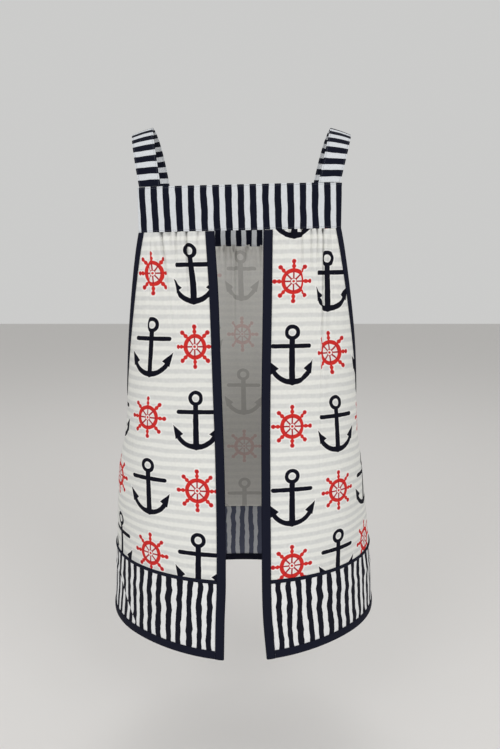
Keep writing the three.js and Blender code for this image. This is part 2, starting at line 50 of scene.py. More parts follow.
# The body that the cloth hangs round, in metres; down is a share of the hem's drop
body = {
    "hemDrop": 0.737,
    "hemHalf": 0.209,
    "hemBack": 0.168,
    "hemFront": 0.132,
    "sideLine": 0.020,
    "openingHalf": 0.030,
    "askewShift": -0.004,
    "askewTurn": math.radians(1.35),
    "hemLift": 0.008,
    "liftReach": 0.6,
    "quarterSteps": 40,
    "heightStep": 0.002,
    "fallStep": 14,
}
sections = tableOf(
    "down left right back front backSquare frontSquare",
    (0.1, 0.79, 0.79, 0.52, 0.5, 5, 3.2),
    (0.19, 0.79, 0.79, 0.524, 0.56, 5, 3.2),
    (0.27, 0.804, 0.804, 0.542, 0.72, 4.2, 3),
    (0.38, 0.818, 0.818, 0.56, 0.84, 3.6, 2.8),
    (0.5, 0.836, 0.823, 0.571, 0.87, 3.2, 2.6),
    (0.6, 0.876, 0.85, 0.62, 0.885, 2.7, 2.4),
    (0.655, 0.919, 0.88, 0.7, 0.9, 2.4, 2.3),
    (0.735, 0.952, 0.912, 0.815, 0.924, 2.2, 2.2),
    (0.815, 0.967, 0.948, 0.93, 0.95, 2.05, 2.1),
    (0.9, 0.982, 0.978, 0.984, 0.975, 2, 2),
    (1, 1, 0.996, 1, 1, 2, 2),
)
openingEdges = tableOf(
    "down left right",
    (0.19, 1.17, 1.1),
    (0.31, 1.04, 1.04),
    (0.5, 0.97, 0.93),
    (0.7, 0.84, 0.89),
    (0.85, 0.8, 0.9),
    (0.92, 0.86, 0.96),
    (1, 0.9, 1.13),
)
sideSeams = tableOf(
    "down left right",
    (0.5, 1, 1),
    (0.7, 1, 1.02),
    (0.84, 0.92, 1.02),
    (0.91, 0.74, 1.01),
    (0.98, 0.59, 1),
    (1, 0.57, 1),
)
hangShares = tableOf(
    "down shift turn lift",
    (0, 0.45, 0, 0),
    (0.1, 1, 1, 0),
    (0.2, 1, 1, 0),
    (0.31, 0.75, 0.8, 0),
    (0.5, 0.3, 0.4, 0),
    (0.75, 0, 0.1, 0),
    (0.845, 0, 0.15, 0.05),
    (1, 0, 0.35, 1),
)


def tableAt(table, column, down):
    if down <= table[0]["down"]:
        return table[0][column]
    if down >= table[-1]["down"]:
        return table[-1][column]
    last = len(table) - 1
    i = 0
    while table[i + 1]["down"] < down:
        i += 1

    def slopeAt(k):
        before, after = table[max(k - 1, 0)], table[min(k + 1, last)]
        return (after[column] - before[column]) / (after["down"] - before["down"])

    start, end = table[i], table[i + 1]
    span = end["down"] - start["down"]
    t = (down - start["down"]) / span
    rise = t * t * (3 - 2 * t)
    return (
        start[column] * (1 - rise)
        + end[column] * rise
        + (t**3 - 2 * t * t + t) * span * slopeAt(i)
        + (t**3 - t * t) * span * slopeAt(i + 1)
    )


def smoothStep(t):
    t = min(max(t, 0.0), 1.0)
    return t * t * (3 - 2 * t)


outlines = {}  # quarter outlines that are already worked out


def outlineAt(level, side, face):
    key = (level, side, face)
    if key not in outlines:
        down = -level * body["heightStep"] / body["hemDrop"]
        half = body["hemHalf"] * tableAt(sections, side, down)
        reach = body["hemBack"] if face == "back" else body["hemFront"]
        deep = reach * tableAt(sections, face, down)
        square = tableAt(sections, face + "Square", down)
        steps = body["quarterSteps"]
        points = []
        for i in range(steps + 1):
            t = i / steps * math.pi / 2
            scale = (math.sin(t) ** square + abs(math.cos(t)) ** square) ** (-1 / square)
            x, y = half * math.sin(t) * scale, deep * math.cos(t) * scale
            walked = points[-1][2] + math.hypot(x - points[-1][0], y - points[-1][1]) if i else 0.0
            points.append((x, y, walked))
        outlines[key] = points
    return outlines[key]


def betweenLevels(z, valueAt):
    place = z / body["heightStep"]
    level = math.floor(place)
    share = place - level
    return valueAt(level) * (1 - share) + valueAt(level + 1) * share


def quarterLength(z, side, face):
    return betweenLevels(z, lambda level: outlineAt(level, side, face)[-1][2])


def indexBelow(points, column, value):
    low, high = 0, len(points) - 2
    while low < high:
        middle = (low + high + 1) // 2
        if points[middle][column] <= value:
            low = middle
        else:
            high = middle - 1
    return low


def pointOn(points, walked):
    i = indexBelow(points, 2, walked)
    a, b = points[i], points[i + 1]
    t = (walked - a[2]) / (b[2] - a[2])
    return Vector((a[0] + (b[0] - a[0]) * t, a[1] + (b[1] - a[1]) * t, 0))


def walkedAcross(z, side, face, across):
    def walkedAt(level):
        points = outlineAt(level, side, face)
        i = indexBelow(points, 0, across)
        a, b = points[i], points[i + 1]
        return a[2] + (b[2] - a[2]) * (across - a[0]) / (b[0] - a[0])

    return betweenLevels(z, walkedAt)


def frontMiddle(z, side):
    return quarterLength(z, side, "back") + quarterLength(z, side, "front")


# A place on the body: around is walked from the middle of the back, and right is positive
def bodyPoint(around, z):
    side = "left" if around < 0 else "right"
    walked = abs(around)
    backLength = quarterLength(z, side, "back")
    if walked <= backLength:
        spot = betweenLevels(z, lambda level: pointOn(outlineAt(level, side, "back"), walked))
        y = body["sideLine"] - spot.y
    else:
        left = frontMiddle(z, side) - walked
        spot = betweenLevels(z, lambda level: pointOn(outlineAt(level, side, "front"), left))
        y = body["sideLine"] + spot.y
    x = spot.x if around > 0 else -spot.x
    down = -z / body["hemDrop"]
    backDepth = body["hemBack"] * tableAt(sections, "back", down)
    turn = body["askewTurn"] * tableAt(hangShares, "turn", down) * smoothStep(0.5 - y / (2 * backDepth))
    shift = body["askewShift"] * tableAt(hangShares, "shift", down)
    lifted = smoothStep(walked / (backLength * body["liftReach"]))
    lift = body["hemLift"] * tableAt(hangShares, "lift", down) * lifted
    return Vector((x + shift, y, z + lift + x * math.tan(turn)))


def openingEdge(z, side):
    across = body["openingHalf"] * tableAt(openingEdges, side, -z / body["hemDrop"])
    return walkedAcross(z, side, "back", across) + seams["edgeRoom"]


def sideSeam(z, side):
    return quarterLength(z, side, "back") * tableAt(sideSeams, side, -z / body["hemDrop"])


seams = {"edgeRoom": 0.0014, "tuck": 0.003, "tapeWidth": 0.011}
cloth = {
    "wall": 0.0012,
    "doubleWall": 0.0021,
    "roundEdge": 0.0007,
    "edgeFade": 0.016,
    # How deep a crease goes before painted shade starts, how deep it is at full painted shade, and how far
    # that painted shade darkens the colour
    "creaseFrom": 0.0007,
    "creaseDeep": 0.0026,
    "paintedCreaseShade": 0.42,
}
probe = 0.0005  # a short step for finding directions on the body


def bodyNormal(around, z):
    along = bodyPoint(around + probe, z) - bodyPoint(around - probe, z)
    up = bodyPoint(around, z + probe) - bodyPoint(around, z - probe)
    return along.cross(up).normalized()


# A place moved over the body by a distance along its inward direction
def insetPlace(around, z, inward, distance):
    along = (bodyPoint(around + probe, z) - bodyPoint(around - probe, z)).length / (2 * probe)
    up = (bodyPoint(around, z + probe) - bodyPoint(around, z - probe)).length / (2 * probe)
    return around + inward[0] * distance / along, z + inward[1] * distance / up


fallTable = [0.0]  # length of cloth from the crest's height down to each level of the back


def fallLength(z):
    step = body["heightStep"]
    while len(fallTable) < 2 - z / step:
        level = len(fallTable)
        depths = [outlineAt(-k, "left", "back")[body["fallStep"]][1] for k in (level - 1, level)]
        fallTable.append(fallTable[-1] + math.hypot(step, depths[1] - depths[0]))
    place = -z / step
    level = int(place)
    return fallTable[level] + (fallTable[level + 1] - fallTable[level]) * (place - level)


# A cloth grid laid out by spotAt, which gives a point, its place on the flat cloth and its relief.
# Where the relief goes in, a crease value is kept, from which the materials paint shade into the creases.
def clothGrid(columns, rows, spotAt):
    bm = bmesh.new()
    bmesh.ops.create_grid(bm, x_segments=columns, y_segments=rows, size=0.5)
    uvLayer = bm.loops.layers.uv.new("cloth")
    creaseLayer = bm.verts.layers.float.new("crease")
    flatSpots = {}
    reliefs = {}
    for vert in bm.verts:
        point, flat, relief = spotAt(vert.co.x + 0.5, 0.5 - vert.co.y)
        vert.co = point
        flatSpots[vert] = flat
        reliefs[vert] = relief
    bm.normal_update()
    for vert, relief in reliefs.items():
        vert.co += vert.normal * relief
        vert[creaseLayer] = smoothStep((-relief - cloth["creaseFrom"]) / cloth["creaseDeep"])
    for face in bm.faces:
        face.smooth = True
        for loop in face.loops:
            loop[uvLayer].uv = flatSpots[loop.vert]
    return bm


def clothPiece(node, bm, materials, wall, edge=0.0):
    first, *others = node.split("_")
    name = first + "".join(word.capitalize() for word in others)
    mesh = bpy.data.meshes.new(name)
    bm.to_mesh(mesh)
    bm.free()
    piece = bpy.data.objects.new(name, mesh)
    scene.collection.objects.link(piece)
    for material in materials:
        mesh.materials.append(material)
    shell = piece.modifiers.new("wall", "SOLIDIFY")
    shell.thickness = wall
    shell.offset = 0
    shell.material_offset = len(materials) - 1
    if edge:
        rounding = piece.modifiers.new("roundEdge", "BEVEL")
        rounding.width = edge
        rounding.segments = 2
        rounding.limit_method = "ANGLE"
        rounding.angle_limit = math.radians(50)
    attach(piece, "root")
    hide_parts(node)
    return piece


# Slow unevenness of each cloth: seed, size and height
ripples = {
    "backPanel": (3.1, 0.055, 0.0016),
    "frontPanel": (7.7, 0.060, 0.0018),
    "yokeStripe": (1.3, 0.05, 0.0004),
    "yoke": (5.2, 0.040, 0.0007),
    "yokeSeam": (9.4, 0.011, 0.0007),
    "backBuckle": (2.2, 0.07, 0.006),
    "backBand": (3.2, 0.035, 0.0009),
    "frontBuckle": (4.4, 0.07, 0.006),
    "frontBand": (5.4, 0.035, 0.0009),
}


def ripple(around, z, name):
    seed, size, height = ripples[name]
    return height * noise.noise(Vector((around / size, z / size * 0.6, seed)))


# A shader node with its settings, fed with values and with other nodes' outputs
def addNode(tree, kind, inputs, **settings):
    node = tree.nodes.new("ShaderNode" + kind)
    for name, value in settings.items():
        setattr(node, name, value)
    for label, value in inputs.items():
        if isinstance(value, bpy.types.NodeSocket):
            tree.links.new(value, node.inputs[label])
        else:
            node.inputs[label].default_value = value
    return node.outputs


def calcIn(tree):
    def calc(operation, *inputs, clamp=False):
        return addNode(tree, "Math", dict(enumerate(inputs)), operation=operation, use_clamp=clamp)[0]

    return calc


def noiseAt(tree, vector, scale, detail):
    return addNode(tree, "TexNoise", {"Vector": vector, "Scale": scale, "Detail": detail})["Fac"]


def mixColours(tree, factor, first, second):
    return addNode(tree, "Mix", {0: factor, 6: first, 7: second}, data_type="RGBA")[2]


def splitVector(tree, vector):
    outputs = addNode(tree, "SeparateXYZ", {0: vector})
    return outputs[0], outputs[1]


def newGroup(name, inputs, outputs):
    tree = bpy.data.node_groups.new(name, "ShaderNodeTree")
    for labels, way in ((inputs, "INPUT"), (outputs, "OUTPUT")):
        for label, kind in labels.items():
            tree.interface.new_socket(label, in_out=way, socket_type="NodeSocket" + kind)
    start = tree.nodes.new("NodeGroupInput")
    end = tree.nodes.new("NodeGroupOutput")
    return tree, start.outputs, end.inputs


weaveLook = {
    "thread": 0.0006,
    "slubScale": 260,
    "slub": 0.16,
    "crumpleScale": 55,
    "crumple": 3.5,
    "bump": 0.3,
    "bumpHeight": 0.0003,
}


# Threads over and under as a height, and their slow unevenness as a shade
def makeWeave():
    tree, given, wanted = newGroup("plainWeave", {"Cloth": "Vector"}, {"Height": "Float", "Shade": "Float"})
    calc = calcIn(tree)
    x, y = splitVector(tree, given["Cloth"])
    turn = 2 * math.pi
    warp = calc("SINE", calc("MULTIPLY", calc("DIVIDE", x, weaveLook["thread"]), turn))
    weft = calc("SINE", calc("MULTIPLY", calc("DIVIDE", y, weaveLook["thread"]), turn))
    tree.links.new(calc("MULTIPLY_ADD", calc("MULTIPLY", warp, weft), 0.5, 0.5), wanted["Height"])
    slub = noiseAt(tree, given["Cloth"], weaveLook["slubScale"], 3)
    shade = calc("MULTIPLY_ADD", slub, weaveLook["slub"], 1 - weaveLook["slub"] / 2)
    tree.links.new(shade, wanted["Shade"])
    return tree


stripeLook = {
    "bendScale": 36,
    "bend": 4.5,
    "nibbleScale": 130,
    "sharpness": 9,
    "navyShare": 1.6,
}


# Two-colour stripes across the cloth's first axis, with edges drawn by hand
def makeStripes():
    inputs = {"Cloth": "Vector", "Period": "Float", "Waviness": "Float"}
    tree, given, wanted = newGroup("wavyStripes", inputs, {"Mask": "Float"})
    calc = calcIn(tree)
    x, y = splitVector(tree, given["Cloth"])
    bend = calc("SUBTRACT", noiseAt(tree, given["Cloth"], stripeLook["bendScale"], 1), 0.5)
    nibble = calc("SUBTRACT", noiseAt(tree, given["Cloth"], stripeLook["nibbleScale"], 2), 0.5)
    sway = calc("MULTIPLY_ADD", bend, stripeLook["bend"], nibble)
    moved = calc("MULTIPLY_ADD", sway, given["Waviness"], x)
    wave = calc("SINE", calc("MULTIPLY", calc("DIVIDE", moved, given["Period"]), 2 * math.pi))
    mask = calc("MULTIPLY_ADD", wave, stripeLook["sharpness"], stripeLook["navyShare"], clamp=True)
    tree.links.new(mask, wanted["Mask"])
    return tree


printLook = {
    "column": 0.0702,
    "stretch": 1.09,
    "row": 0.1005,
    "paleStripe": 0.0125,
    "softness": 0.00045,
    "bolder": 0.0005,
    "halo": 0.0017,
    "haloShare": 0.75,
    "dotShare": 0.6,
    "wobble": 0.0012,
    "wobbleScale": 110,
    "drift": 0.0035,
    "driftScale": 30,
    "patchScale": 160,
}
printColours = {
    "cloth": (0.70, 0.70, 0.665, 1),
    "stripe": (0.55, 0.555, 0.545, 1),
    "halo": (0.74, 0.73, 0.71, 1),
    "wheel": (0.53, 0.024, 0.021, 1),
    "dot": (0.20, 0.012, 0.03, 1),
    "anchor": (0.0040, 0.0042, 0.0098, 1),
    "inside": (0.70, 0.69, 0.66, 1),
}


# Shapes are distances outside an edge, negative inside it
def lengthOf(calc, a, b):
    return calc("SQRT", calc("ADD", calc("MULTIPLY", a, a), calc("MULTIPLY", b, b)))


def least(calc, *shapes):
    return reduce(partial(calc, "MINIMUM"), shapes)


def most(calc, *shapes):
    return reduce(partial(calc, "MAXIMUM"), shapes)


def within(calc, value, middle, half):
    return calc("SUBTRACT", calc("ABSOLUTE", calc("SUBTRACT", value, middle)), half)


# Bars are half width, middle and reach along the spoke; balls are place and radius
wheelShape = {
    "wide": 1.03,
    "tall": 1.11,
    "rim": (0.0134, 0.0026),
    "spoke": (0.0010, 0.0075, 0.0055),
    "handle": (0.0016, 0.0205, 0.0068),
    "knob": (0.0245, 0.0028),
    "dot": (0.0245, 0.0014),
    "bead": (0.0187, 0.0026),
    "hub": 0.0042,
    "hubRing": (0.0025, 0.0008),
}


# Eight spokes with handles past the rim, and the darker parts, which are spokes and knobs' dots
def wheelAt(calc, px, py):
    wheelX = calc("DIVIDE", px, wheelShape["wide"])
    wheelY = calc("DIVIDE", py, wheelShape["tall"])
    radius = lengthOf(calc, wheelX, wheelY)
    eighth = math.pi / 4
    angle = calc("ADD", calc("ARCTAN2", wheelY, wheelX), eighth / 2)
    folded = calc("SUBTRACT", calc("FLOORED_MODULO", angle, eighth), eighth / 2)
    out = calc("MULTIPLY", radius, calc("COSINE", folded))
    aside = calc("ABSOLUTE", calc("MULTIPLY", radius, calc("SINE", folded)))

    def bar(name):
        half, middle, reach = wheelShape[name]
        return most(calc, calc("SUBTRACT", aside, half), within(calc, out, middle, reach))

    def ball(name):
        place, size = wheelShape[name]
        return calc("SUBTRACT", lengthOf(calc, calc("SUBTRACT", out, place), aside), size)

    rim = within(calc, radius, *wheelShape["rim"])
    hub = calc("SUBTRACT", radius, wheelShape["hub"])
    hubRing = within(calc, radius, *wheelShape["hubRing"])
    spoke = bar("spoke")
    wheel = least(calc, rim, spoke, bar("handle"), ball("knob"), ball("bead"), hub)
    return wheel, hubRing, least(calc, ball("dot"), spoke)


anchorShape = {
    "tall": 1.047,
    "foot": -0.0431,
    "ringAt": 0.0267,
    "ring": (0.0076, 0.0021),
    "stockAt": 0.0084,
    "stockReach": 0.0252,
    "stockHalf": 0.0025,
    "shankSpan": (-0.0090, 0.0290),
    "shankTop": 0.020,
    "shankFlare": 0.010,
    "shankHalf": 0.0031,
    "bowAt": -0.0104,
    "bowRadius": 0.0286,
    "armTop": -0.0215,
    "armHalf": 0.0031,
    "armTaper": -0.02,
    "crownTop": -0.0350,
    "crownHalf": 0.0105,
    "crownSlope": 0.35,
}
# The three sides of a barbed fluke: the way out, and a point on the side
flukeSides = tableOf(
    "outX outY atX atY",
    (-0.633, 0.774, 0.0314, -0.0106),
    (0.979, -0.206, 0.0314, -0.0106),
    (-0.592, -0.806, 0.0183, -0.0213),
)


# Ring, stock, shank, arms, crown and flukes, the same on both sides
def anchorAt(calc, px, py):
    shape = anchorShape
    side = calc("ABSOLUTE", px)
    up = calc("MULTIPLY_ADD", calc("SUBTRACT", py, shape["foot"]), 1 / shape["tall"], shape["foot"])

    def above(name):
        return calc("SUBTRACT", up, shape[name])

    ring = within(calc, lengthOf(calc, px, above("ringAt")), *shape["ring"])
    beyond = calc("MAXIMUM", calc("SUBTRACT", side, shape["stockReach"]), 0.0)
    stock = calc("SUBTRACT", lengthOf(calc, beyond, above("stockAt")), shape["stockHalf"])
    belowTop = calc("SUBTRACT", shape["shankTop"], up)
    halfShank = calc("MULTIPLY_ADD", belowTop, shape["shankFlare"], shape["shankHalf"])
    shank = most(calc, calc("SUBTRACT", side, halfShank), within(calc, up, *shape["shankSpan"]))
    halfArm = calc("MULTIPLY_ADD", side, shape["armTaper"], shape["armHalf"])
    bow = within(calc, lengthOf(calc, side, above("bowAt")), shape["bowRadius"], 0.0)
    arms = most(calc, calc("SUBTRACT", bow, halfArm), above("armTop"))
    crownEdge = calc("SUBTRACT", calc("MULTIPLY", side, shape["crownSlope"]), above("foot"))
    crown = most(calc, crownEdge, above("crownTop"), calc("SUBTRACT", side, shape["crownHalf"]))
    edges = []
    for line in flukeSides:
        part = calc("MULTIPLY", calc("SUBTRACT", side, line["atX"]), line["outX"])
        edges.append(calc("MULTIPLY_ADD", calc("SUBTRACT", up, line["atY"]), line["outY"], part))
    return least(calc, ring, stock, shank, arms, crown, most(calc, *edges))


# Anchors and ship's wheels by turns over pale level stripes
def makePrint():
    tree, given, wanted = newGroup("nauticalPrint", {"Cloth": "Vector"}, {"Color": "Color"})
    calc = calcIn(tree)
    x, y = splitVector(tree, given["Cloth"])
    wobble = calc("SUBTRACT", noiseAt(tree, given["Cloth"], printLook["wobbleScale"], 2), 0.5)
    sway = calc("MULTIPLY", wobble, printLook["wobble"])
    cellX = calc("DIVIDE", x, printLook["column"])
    cellY = calc("DIVIDE", y, printLook["row"])
    wholeX = calc("ROUND", cellX)
    wholeY = calc("ROUND", cellY)
    px = calc("ADD", calc("MULTIPLY", calc("SUBTRACT", cellX, wholeX), printLook["column"]), sway)
    py = calc("SUBTRACT", calc("MULTIPLY", calc("SUBTRACT", cellY, wholeY), printLook["row"]), sway)
    isAnchor = calc("FLOORED_MODULO", calc("ADD", wholeX, wholeY), 2.0)
    isWheel = calc("SUBTRACT", 1.0, isAnchor)
    wheel, hubRing, darker = wheelAt(calc, px, py)
    anchor = anchorAt(calc, px, py)

    def inkOf(shape, grow=0.0):
        edge = calc("DIVIDE", calc("SUBTRACT", grow, shape), printLook["softness"])
        return calc("ADD", edge, 0.5, clamp=True)

    wheelOnly = calc("MULTIPLY", inkOf(wheel), isWheel)
    wheelInk = calc("MULTIPLY", wheelOnly, calc("SUBTRACT", 1.0, inkOf(hubRing)))
    wheelHalo = calc("MULTIPLY", inkOf(wheel, printLook["halo"]), isWheel)
    anchorHalo = calc("MULTIPLY", inkOf(anchor, printLook["halo"]), isAnchor)
    drift = calc("SUBTRACT", noiseAt(tree, given["Cloth"], printLook["driftScale"], 3), 0.5)
    level = calc("MULTIPLY_ADD", drift, printLook["drift"], y)
    wave = calc("SINE", calc("MULTIPLY", level, 2 * math.pi / printLook["paleStripe"]))
    faint = calc("MULTIPLY_ADD", wave, 0.9, 0.5, clamp=True)
    patches = noiseAt(tree, given["Cloth"], printLook["patchScale"], 4)
    patchy = calc("MULTIPLY_ADD", patches, 0.7, 0.45, clamp=True)
    layers = {
        "stripe": calc("MULTIPLY", faint, patchy),
        "halo": calc("MULTIPLY", calc("MAXIMUM", anchorHalo, wheelHalo), printLook["haloShare"]),
        "wheel": wheelInk,
        "dot": calc("MULTIPLY", calc("MULTIPLY", inkOf(darker), wheelInk), printLook["dotShare"]),
        "anchor": calc("MULTIPLY", inkOf(anchor, printLook["bolder"]), isAnchor),
    }
    colour = printColours["cloth"]
    for name, share in layers.items():
        colour = mixColours(tree, share, colour, printColours[name])
    tree.links.new(colour, wanted["Color"])
    return tree


stitch = {"pitch": 0.0026, "length": 0.36, "thread": 0.00035, "stand": 4.0, "furrow": 4, "dip": -5.0}


# Runs of stitches along the cloth's first axis at two heights, with thread, gap and pucker
def makeStitches():
    inputs = {"Cloth": "Vector", "First": "Float", "Second": "Float"}
    tree, given, wanted = newGroup("stitchRows", inputs, {"Mask": "Float", "Height": "Float"})
    calc = calcIn(tree)
    x, y = splitVector(tree, given["Cloth"])
    first, second = [calc("ABSOLUTE", calc("SUBTRACT", y, given[row])) for row in ("First", "Second")]
    away = calc("MINIMUM", first, second)
    share = calc("FRACT", calc("DIVIDE", x, stitch["pitch"]))
    inRun = calc("LESS_THAN", calc("ABSOLUTE", calc("SUBTRACT", share, 0.5)), stitch["length"])
    mask = calc("MULTIPLY", inRun, calc("LESS_THAN", away, stitch["thread"]))
    tree.links.new(mask, wanted["Mask"])
    furrow = calc("SUBTRACT", 1.0, calc("DIVIDE", away, stitch["thread"] * stitch["furrow"]), clamp=True)
    dip = calc("MULTIPLY", furrow, stitch["dip"])
    tree.links.new(calc("MULTIPLY_ADD", mask, stitch["stand"], dip), wanted["Height"])
    return tree


groups = {
    "weave": makeWeave(),
    "stripes": makeStripes(),
    "print": makePrint(),
    "stitches": makeStitches(),
}


def addGroup(tree, name, vector, **values):
    return addNode(tree, "Group", {"Cloth": vector, **values}, node_tree=groups[name])


# stitches gives the heights of two stitched rows on the flat cloth
def clothMaterial(name, roughness=0.92, sheen=0.02, stitches=None):
    material = bpy.data.materials.new(name)
    material.use_nodes = True
    tree = material.node_tree
    shader = tree.nodes["Principled BSDF"]
    shader.inputs["Roughness"].default_value = roughness
    shader.inputs["Sheen Weight"].default_value = sheen
    shader.inputs["Sheen Roughness"].default_value = 0.5
    shader.inputs["Specular IOR Level"].default_value = 0.08
    flat = addNode(tree, "UVMap", {}, uv_map="cloth")[0]
    calc = calcIn(tree)
    weave = addGroup(tree, "weave", flat)
    crumple = noiseAt(tree, flat, weaveLook["crumpleScale"], 4)
    height = calc("MULTIPLY_ADD", crumple, weaveLook["crumple"], weave["Height"])
    sewn = None
    if stitches:
        rows = addGroup(tree, "stitches", flat, First=stitches[0], Second=stitches[1])
        height = calc("ADD", height, rows["Height"])
        sewn = rows["Mask"]
    bump = {"Strength": weaveLook["bump"], "Distance": weaveLook["bumpHeight"], "Height": height}
    tree.links.new(addNode(tree, "Bump", bump)[0], shader.inputs["Normal"])
    # Painted shade: the colour is darkened in the gathers' creases, where shade falls, on top of the weave's
    # own uneven tone
    creasesForPaintedShade = addNode(tree, "Attribute", {}, attribute_name="crease")
    left = calc("MULTIPLY_ADD", creasesForPaintedShade["Fac"], -cloth["paintedCreaseShade"], 1)
    shade = calc("MULTIPLY", weave["Shade"], left)
    return material, tree, shader, flat, shade, sewn


# A colour scaled by the weave's uneven tone and by the painted shade in the creases
def shaded(tree, colour, shade):
    return addNode(tree, "VectorMath", {0: colour, "Scale": shade}, operation="SCALE")[0]


def stripedMaterial(name, period, waviness, navy, white, stitches):
    material, tree, shader, flat, shade, sewn = clothMaterial(name, stitches=stitches)
    stripes = addGroup(tree, "stripes", flat, Period=period, Waviness=waviness)
    colour = mixColours(tree, stripes["Mask"], white, navy)
    if sewn:
        faint = calcIn(tree)("MULTIPLY", sewn, 0.5)
        colour = mixColours(tree, faint, colour, threadColour)
    tree.links.new(shaded(tree, colour, shade), shader.inputs["Base Color"])
    return material


# paleness is how far the print fades, as it does on the cloth's inside
def printMaterial(name, paleness):
    material, tree, shader, flat, shade, _ = clothMaterial(name)
    colour = addGroup(tree, "print", flat)["Color"]
    if paleness:
        colour = mixColours(tree, paleness, colour, printColours["inside"])
    tree.links.new(shaded(tree, colour, shade), shader.inputs["Base Color"])
    return material


def tapeMaterial(name):
    material, tree, shader, _, shade, _ = clothMaterial(name, roughness=0.85, sheen=0.01)
    tree.links.new(mixColours(tree, shade, *tapeNavies), shader.inputs["Base Color"])
    return material


threadColour = (0.085, 0.09, 0.11, 1)
tapeNavies = ((0.0040, 0.0048, 0.0110, 1), (0.0075, 0.0086, 0.0180, 1))
navyInk = (0.0050, 0.0060, 0.0140, 1)
whiteStripe = (0.575, 0.595, 0.62, 1)
yokePeriod, bandPeriod = 0.01687, 0.0162
stripedCloths = tableOf(
    "name period waviness navy white stitches",
    ("yokeCloth", yokePeriod, 0.0006, navyInk, whiteStripe, (-0.0022, -0.0588)),
    ("strapCloth", yokePeriod, 0.0006, navyInk, whiteStripe, (-0.0133, 0.0133)),
    # Painted light: the band's white is lighter than the yoke's white, to make up for the dimmer light that
    # falls on the hem
    ("bandCloth", bandPeriod, 0.0018, (0.0065, 0.0070, 0.0135, 1), (0.72, 0.725, 0.73, 1), None),
    ("bandInside", bandPeriod, 0.0018, (0.10, 0.11, 0.16, 1), (0.55, 0.57, 0.60, 1), None),
)
yokeCloth, strapCloth, bandCloth, bandInside = [stripedMaterial(**kind) for kind in stripedCloths]
printCloth = printMaterial("printCloth", 0.0)
printInside = printMaterial("printInside", 0.72)
navyTape = tapeMaterial("navyTape")
print("materials made")


# Sizes of the yokes and the panels
yoke = {
    "backTop": -0.080,
    "frontTop": -0.098,
    "height": 0.061,
    "half": 0.140,
    "steps": (150, 26),
    "backPhase": 0.1380,
    "lean": 0.03,
    "endFade": 0.04,
    "seamReach": 0.012,
}
panel = {
    "bandTop": -0.623,
    "armholeFoot": -0.3874,
    "underarmRise": 0.019,
    "topOut": 0.22,
    "topDown": 0.33,
    "bottomBack": 0.53,
    "backSteps": (165, 170),
    "frontSteps": (300, 140),
    "pucker": 0.0042,
    "puckerReach": 0.022,
    "puckerStart": 0.002,
    "puckerWide": 0.0055,
    "puckerTall": 0.03,
    "rippleReach": 0.05,
    "footFade": 0.02,
    "hideReach": {"left": 0.33, "right": 0.42, "front": 0.35},
}
backFoot = yoke["backTop"] - yoke["height"]
frontFoot = yoke["frontTop"] - yoke["height"]


def yokeEnd(z, side, face):
    walked = walkedAcross(z, side, face, yoke["half"])
    return walked if face == "back" else frontMiddle(z, side) - walked


# Place and inward direction on the armhole's edge, from the yoke's corner to the underarm
def armholeAt(side, face, t):
    top = backFoot if face == "back" else frontFoot
    into = -1 if face == "back" else 1
    corner = yokeEnd(top, side, face) + into * seams["edgeRoom"]
    foot = panel["armholeFoot"]
    width = sideSeam(foot, side) - corner
    height = top - foot
    points = [
        (corner, top),
        (corner + width * panel["topOut"], top - height * panel["topDown"]),
        (corner + width * (1 - panel["bottomBack"]), foot),
        (corner + width, foot),
    ]
    s = 1 - t
    shares = (s**3, 3 * s * s * t, 3 * s * t * t, t**3)
    place = [sum(share * point[k] for share, point in zip(shares, points)) for k in (0, 1)]
    steps = [(points[i + 1][0] - points[i][0], points[i + 1][1] - points[i][1]) for i in range(3)]
    slopes = (s * s, 2 * s * t, t * t)
    tangent = Vector([sum(slope * step[k] for slope, step in zip(slopes, steps)) for k in (0, 1)])
    tangent.normalize()
    inward = Vector((-into * tangent.y, into * tangent.x))
    if t == 0:
        inward = Vector((into, 0))
    return place[0], place[1], inward


# The upper half of the rows ends at the armhole, and the lower half at the side seam
def panelEnd(side, face, down):
    if down <= 0.5:
        return armholeAt(side, face, down * 2)[:2]
    z = panel["armholeFoot"] + (panel["bandTop"] - panel["armholeFoot"]) * (2 * down - 1)
    return sideSeam(z, side), z


def rowHeight(top, down):
    under = panel["armholeFoot"] + panel["underarmRise"]
    if down <= 0.5:
        return top + (under - top) * 2 * down
    return under + (panel["bandTop"] - under) * (2 * down - 1)


# Small upright puckers where the gathers go into the seam
def puckers(place, below, seed):
    strength = math.exp(-((below / panel["puckerReach"]) ** 2)) * smoothStep(below / panel["puckerStart"])
    spot = Vector((place / panel["puckerWide"], below / panel["puckerTall"], seed))
    return panel["pucker"] * strength * noise.noise(spot)


# A fold's profile: shares of its width, and heights of the puff and the notch beside it
fold = {
    "hideWidth": 0.55,
    "puffAt": 0.5,
    "puffWidth": 1.3,
    "puff": 1.7,
    "notchWidth": 0.36,
    "notch": 1.9,
    "startFrom": 0.001,
    "startReach": 0.012,
    "fadePower": 1.6,
}


# Cloth taken up by the gathers at a place, and how far they stand out there
def foldsAt(gathers, place, below, hideReach):
    hidden = 0.0
    relief = 0.0
    hide = 1 - smoothStep(below / hideReach)
    start = smoothStep((below - fold["startFrom"]) / fold["startReach"])
    for gather in gathers:
        away = (place - gather["at"] - gather["lean"] * below) / gather["width"]
        hidden += gather["hide"] * hide * smoothStep((away / fold["hideWidth"] + 1) / 2)
        fade = math.exp(-((below / gather["reach"]) ** fold["fadePower"]))
        puff = math.exp(-(((away - fold["puffAt"]) / fold["puffWidth"]) ** 2)) * start
        notch = math.exp(-((away / fold["notchWidth"]) ** 2))
        relief += gather["depth"] * fade * (fold["puff"] * puff - fold["notch"] * notch)
    return hidden, relief


puckerSeeds = {"backPanel": 6.3, "frontPanel": 8.9}


